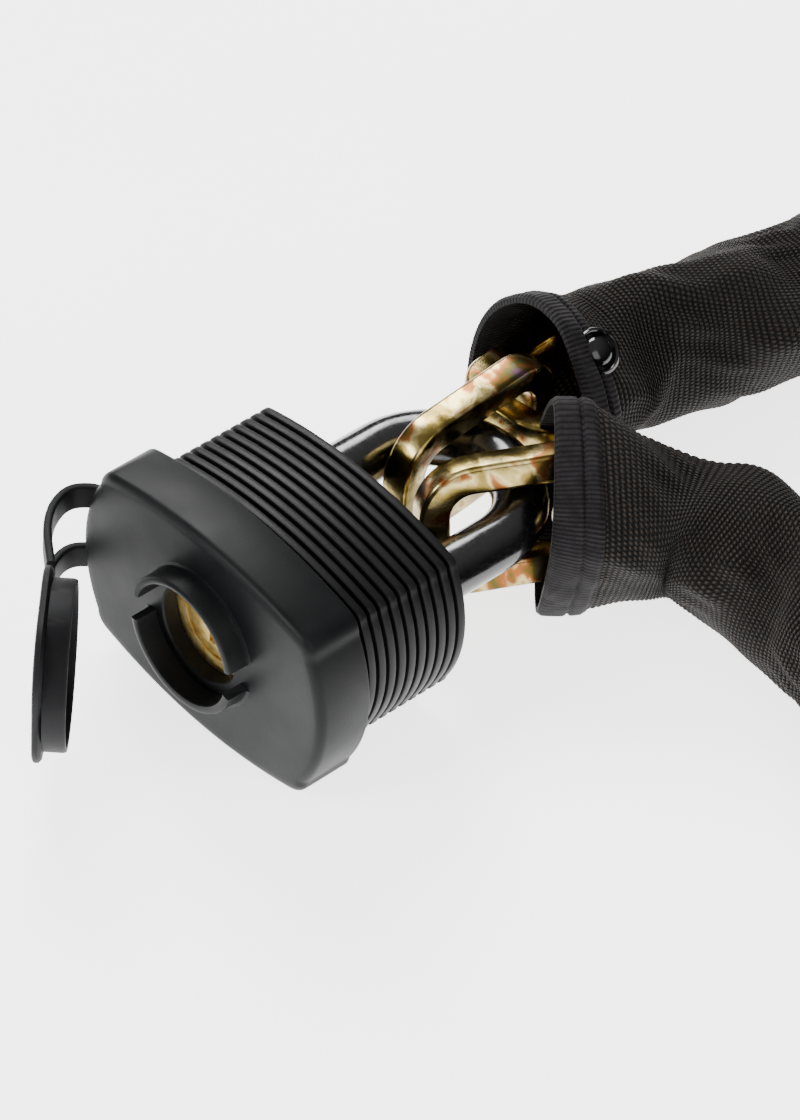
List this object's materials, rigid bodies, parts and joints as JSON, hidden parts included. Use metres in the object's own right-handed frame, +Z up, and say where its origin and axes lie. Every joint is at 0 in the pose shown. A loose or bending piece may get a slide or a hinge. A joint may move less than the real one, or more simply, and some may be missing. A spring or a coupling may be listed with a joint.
{
  "type": "padlock on a sleeved chain",
  "caption": "Weather-covered pin-tumbler padlock with a coated shackle that holds both end links of a square-bar chain in a woven textile sleeve.",
  "frame": {"origin": "middle of the flat land that the end cap lies on, so the floor is the plane z = 0", "axes": "+X from the key face towards the shackle and the chain, +Y across the width of the lock towards the hinge side of the key cover, +Z up, square to the broad faces"},
  "size_m": [0.3019, 0.2198, 0.0431],
  "materials": {
    "casing_plastic": "satin black moulded plastic with a fine grain",
    "cover_rubber": "matt black moulded rubber",
    "brass": "machined, unlacquered",
    "steel": "hardened and plated",
    "shackle_coating": "glossy black dipped coating",
    "link_zinc": "gold-passivated zinc plate with green and violet mottling",
    "sleeve_textile": "coarse woven synthetic tube, black-brown",
    "hem_textile": "finer ribbed woven band, dark grey",
    "stud_metal": "glossy black enamelled press stud"
  },
  "bodies": {
    "lock": {"end_cap": "casing_plastic", "casing": "casing_plastic", "lock_body": "brass", "chamber_cover": "brass", "rear_disc": "brass", "driver_pin_1": "steel", "driver_pin_2": "steel", "driver_pin_3": "steel", "driver_pin_4": "steel", "driver_pin_5": "steel", "pin_spring_1": "steel", "pin_spring_2": "steel", "pin_spring_3": "steel", "pin_spring_4": "steel", "pin_spring_5": "steel", "heel_pin": "steel", "shackle_spring": "steel", "cover_strap_upper": "cover_rubber", "cover_strap_lower": "cover_rubber"},
    "plug": {"key_plug": "brass", "plug_clip": "steel", "lock_cam": "steel", "key_pin_1": "brass", "key_pin_2": "brass", "key_pin_3": "brass", "key_pin_4": "brass", "key_pin_5": "brass"},
    "bolt": {"lock_bolt": "steel"},
    "shackle": {"shackle": "steel", "shackle_coating": "shackle_coating"},
    "cover": {"key_cover": "cover_rubber"},
    "chain": {"rear_lock_link": "link_zinc", "front_lock_link": "link_zinc", "chain_link_1": "link_zinc", "chain_link_2": "link_zinc", "chain_link_3": "link_zinc", "chain_link_4": "link_zinc", "chain_link_5": "link_zinc", "chain_link_6": "link_zinc", "chain_link_7": "link_zinc", "chain_link_8": "link_zinc", "chain_link_9": "link_zinc", "chain_link_10": "link_zinc", "chain_link_11": "link_zinc", "chain_link_12": "link_zinc", "chain_link_13": "link_zinc", "chain_link_14": "link_zinc", "chain_link_15": "link_zinc", "chain_link_16": "link_zinc", "chain_link_17": "link_zinc", "chain_link_18": "link_zinc", "chain_link_19": "link_zinc", "chain_link_20": "link_zinc", "chain_link_21": "link_zinc", "sleeve": "sleeve_textile", "rear_hem": "hem_textile", "front_hem": "hem_textile", "sleeve_stud": "stud_metal"}
  },
  "joints": [
    {"name": "key_turn", "type": "hinge", "parent": "lock", "child": "plug", "pos_m": [0, 0, 0.02155], "axis": [1, 0, 0], "range_deg": [0, 90]},
    {"name": "bolt_throw", "type": "slide", "parent": "lock", "child": "bolt", "axis": [0, -1, 0], "range_m": [0, 0.002]},
    {"name": "shackle_lift", "type": "slide", "parent": "lock", "child": "shackle", "axis": [1, 0, 0], "range_m": [0, 0.0144]},
    {"name": "cover_swing", "type": "hinge", "parent": "lock", "child": "cover", "pos_m": [-0.0073, 0.0292, 0.02155], "axis": [0, 0, 1], "range_deg": [-60, 43.9]},
    {"name": "chain_swing", "type": "hinge", "parent": "shackle", "child": "chain", "pos_m": [0.0472, 0, 0.02155], "axis": [0, 0, 1], "range_deg": [-10, 10]}
  ],
  "couplings": [
    {"joint": "bolt_throw", "follows": "key_turn", "m_per_rad": 0.0012732}
  ]
}
